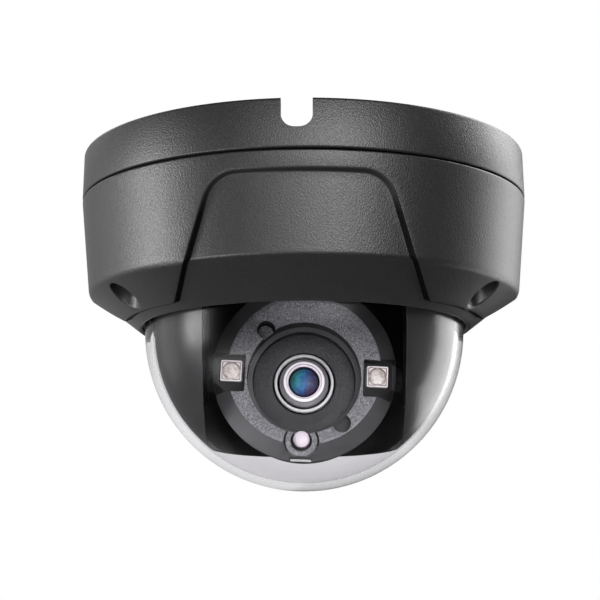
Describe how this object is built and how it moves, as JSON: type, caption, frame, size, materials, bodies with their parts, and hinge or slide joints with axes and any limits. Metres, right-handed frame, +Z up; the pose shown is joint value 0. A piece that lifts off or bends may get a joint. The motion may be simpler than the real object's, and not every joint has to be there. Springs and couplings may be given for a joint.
{
  "type": "dome cctv camera",
  "caption": "Ceiling dome camera: round metal base and cover with recessed panels, clear dome, and a pan, tilt and roll camera head with infrared lamps inside.",
  "frame": {"origin": "centre of the circle of ceiling screws, on the base's back face", "axes": "+Z up into the ceiling along the body's round axis, the dome hangs towards -Z, and the camera's front and side notch face -Y"},
  "size_m": [0.111, 0.111, 0.0834],
  "materials": {
    "body_paint": "fine textured powder coat, dark grey",
    "clear_dome": "clear polycarbonate, polished",
    "rubber": "matt",
    "zinc_steel": "zinc plated",
    "bright_screws": "bright",
    "black_steel": "black oxide",
    "black_gloss": "glossy black",
    "black_plastic": "moulded, matt",
    "textured_bezel": "fine spark texture",
    "circuit_board": "solder mask",
    "board_white": "white solder mask",
    "lamp_body": "clear epoxy over a silver cup",
    "sensor_window": "milky window",
    "copper_coil": "enamelled winding",
    "chip_black": "moulded epoxy",
    "connector_ivory": "moulded",
    "thermal_grey": "soft silicone",
    "lens_black": "black anodised",
    "lens_silver": "turned, bright",
    "lens_glass": "coated optical glass",
    "filter_cyan": "infrared cut coating",
    "filter_clear": "clear"
  },
  "bodies": {
    "root": {"base_housing": "body_paint", "cable_grommet": "rubber", "cover_seal": "rubber", "pan_washer": "zinc_steel", "pan_retainer": "zinc_steel", "pan_retainer_screws": "bright_screws"},
    "cover": {"trim_cover": "body_paint", "dome_bubble": "clear_dome", "dome_gasket": "rubber", "dome_retainer": "zinc_steel", "retainer_screws": "bright_screws", "screw_seals": "rubber"},
    "left_screw": {"cover_screw_left": "black_steel"},
    "right_screw": {"cover_screw_right": "black_steel"},
    "rear_screw": {"cover_screw_rear": "black_steel"},
    "pan_stage": {"pan_table": "black_plastic", "yoke": "black_steel", "inner_liner": "black_gloss", "yoke_screws": "bright_screws", "liner_screws": "bright_screws"},
    "pan_lock": {"pan_lock_screw": "zinc_steel"},
    "tilt_frame": {"tilt_ring": "black_plastic", "tilt_washers": "zinc_steel"},
    "left_tilt_lock": {"tilt_screw_left": "black_steel"},
    "right_tilt_lock": {"tilt_screw_right": "black_steel"},
    "camera_head": {"front_bezel": "textured_bezel", "lens_plate": "textured_bezel", "head_shell": "black_plastic", "roll_retainer": "zinc_steel", "lamp_board": "board_white", "lamp_board_screws": "bright_screws", "ir_lamp_left": "lamp_body", "ir_lamp_right": "lamp_body", "light_sensor": "sensor_window", "lens_holder": "black_plastic", "filter_housing": "black_plastic", "filter_coil": "copper_coil", "sensor_board": "circuit_board", "image_sensor": "chip_black", "processor": "chip_black", "board_connector": "connector_ivory", "thermal_pad": "thermal_grey", "holder_screws": "bright_screws"},
    "lens": {"lens_barrel": "lens_black", "lens_trim_ring": "lens_silver", "lens_front_ring": "lens_silver", "front_glass": "lens_glass", "aperture_stop": "black_plastic", "rear_glass": "lens_glass"},
    "filter": {"filter_slider": "black_plastic", "ir_cut_filter": "filter_cyan", "clear_filter": "filter_clear"}
  },
  "joints": [
    {"name": "cover_release", "type": "slide", "parent": "root", "child": "cover", "axis": [0, 0, -1], "range_m": [0, 0.06]},
    {"name": "left_screw_turn", "type": "hinge", "parent": "cover", "child": "left_screw", "pos_m": [-0.04226, -0.0244, -0.0335], "axis": [0, 0, 1], "continuous": true},
    {"name": "right_screw_turn", "type": "hinge", "parent": "cover", "child": "right_screw", "pos_m": [0.04226, -0.0244, -0.0335], "axis": [0, 0, 1], "continuous": true},
    {"name": "rear_screw_turn", "type": "hinge", "parent": "cover", "child": "rear_screw", "pos_m": [0, 0.0488, -0.0335], "axis": [0, 0, 1], "continuous": true},
    {"name": "pan", "type": "hinge", "parent": "root", "child": "pan_stage", "pos_m": [0, 0, -0.014], "axis": [0, 0, 1], "range_deg": [-177.5, 177.5]},
    {"name": "pan_lock_turn", "type": "hinge", "parent": "pan_stage", "child": "pan_lock", "pos_m": [0, 0.0225, -0.0185], "axis": [0, 0, 1], "range_deg": [0, 540]},
    {"name": "tilt", "type": "hinge", "parent": "pan_stage", "child": "tilt_frame", "pos_m": [0, 0, -0.056], "axis": [1, 0, 0], "range_deg": [0, 81]},
    {"name": "left_tilt_lock_turn", "type": "hinge", "parent": "tilt_frame", "child": "left_tilt_lock", "pos_m": [-0.0275, 0, -0.056], "axis": [-1, 0, 0], "range_deg": [0, 540]},
    {"name": "right_tilt_lock_turn", "type": "hinge", "parent": "tilt_frame", "child": "right_tilt_lock", "pos_m": [0.0275, 0, -0.056], "axis": [1, 0, 0], "range_deg": [0, 540]},
    {"name": "roll", "type": "hinge", "parent": "tilt_frame", "child": "camera_head", "pos_m": [0, 0, -0.056], "axis": [0, -0.9945, 0.1045], "range_deg": [-177.5, 177.5]},
    {"name": "lens_focus", "type": "hinge", "parent": "camera_head", "child": "lens", "pos_m": [-0.00009, -0.00021, -0.05799], "axis": [0, -0.9945, 0.1045], "range_deg": [-180, 180]},
    {"name": "filter_shift", "type": "slide", "parent": "camera_head", "child": "filter", "axis": [-0.9989, 0.0049, 0.0468], "range_m": [0, 0.0055]}
  ]
}
